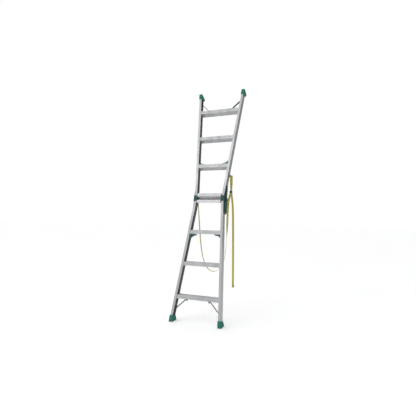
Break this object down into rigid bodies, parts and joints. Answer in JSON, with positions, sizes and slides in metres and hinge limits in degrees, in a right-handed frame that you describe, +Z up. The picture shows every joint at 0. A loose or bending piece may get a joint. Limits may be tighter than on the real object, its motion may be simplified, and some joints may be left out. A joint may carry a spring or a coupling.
{
  "type": "ladder",
  "caption": "Hinged aluminium step ladder opened out into one straight ladder, with green rubber boots and a hanging yellow strap.",
  "frame": {"origin": "floor level under the middle of the ladder, leaving its strap out", "axes": "+Z up, +Y the way the ladder leans, +X to the right for someone about to climb"},
  "size_m": [0.5048, 0.6843, 2.2679],
  "materials": {
    "aluminium": "satin",
    "rivet_aluminium": "satin",
    "green_rubber": "matte",
    "green_plastic": "satin",
    "green_casting": "satin",
    "zinc_steel": "satin",
    "dark_steel": "satin",
    "yellow_webbing": "matte",
    "brown_plastic": "satin"
  },
  "bodies": {
    "lower_section": {"hinge_pin_left": "zinc_steel", "hinge_pin_right": "zinc_steel", "lower_brace_left": "dark_steel", "lower_brace_right": "dark_steel", "lower_gusset_left": "green_plastic", "lower_gusset_right": "green_plastic", "lower_hinge_bracket_left": "green_casting", "lower_hinge_bracket_right": "green_casting", "lower_rubber_boot_left": "green_rubber", "lower_rubber_boot_right": "green_rubber", "lower_stile_left": "aluminium", "lower_stile_right": "aluminium", "lower_top_tread": "aluminium", "lower_tread_1": "aluminium", "lower_tread_2": "aluminium", "lower_tread_3": "aluminium", "lower_tread_rivets": "rivet_aluminium"},
    "upper_section": {"strap_bracket_left": "zinc_steel", "strap_bracket_right": "zinc_steel", "upper_brace_left": "dark_steel", "upper_brace_right": "dark_steel", "upper_gusset_left": "green_plastic", "upper_gusset_right": "green_plastic", "upper_hinge_bracket_left": "green_casting", "upper_hinge_bracket_right": "green_casting", "upper_rubber_boot_left": "green_rubber", "upper_rubber_boot_right": "green_rubber", "upper_stile_left": "aluminium", "upper_stile_right": "aluminium", "upper_top_tread": "aluminium", "upper_tread_1": "aluminium", "upper_tread_2": "aluminium", "upper_tread_3": "aluminium", "upper_tread_rivets": "rivet_aluminium"},
    "strap": {"strap_top": "yellow_webbing", "strap_eye_left": "yellow_webbing", "strap_buckle": "brown_plastic", "strap_loop": "yellow_webbing", "strap_tail": "yellow_webbing"},
    "lock_left": {"lock_bolt_left": "zinc_steel"},
    "lock_right": {"lock_bolt_right": "zinc_steel"}
  },
  "joints": [
    {"name": "fold", "type": "hinge", "parent": "lower_section", "child": "upper_section", "pos_m": [0, 0.02655, 1.11788], "axis": [-1, 0, 0], "range_deg": [0, 176.5]},
    {"name": "strap_swing", "type": "hinge", "parent": "upper_section", "child": "strap", "pos_m": [0, 0.08996, 1.35453], "axis": [1, 0, 0], "range_deg": [0, 165.1]},
    {"name": "lock_left", "type": "slide", "parent": "lower_section", "child": "lock_left", "axis": [0, 0.2588, 0.9659], "range_m": [0, 0.008]},
    {"name": "lock_right", "type": "slide", "parent": "lower_section", "child": "lock_right", "axis": [0, 0.2588, 0.9659], "range_m": [0, 0.008]}
  ],
  "couplings": [
    {"joint": "strap_swing", "follows": "fold", "ratio": 0.9348}
  ]
}
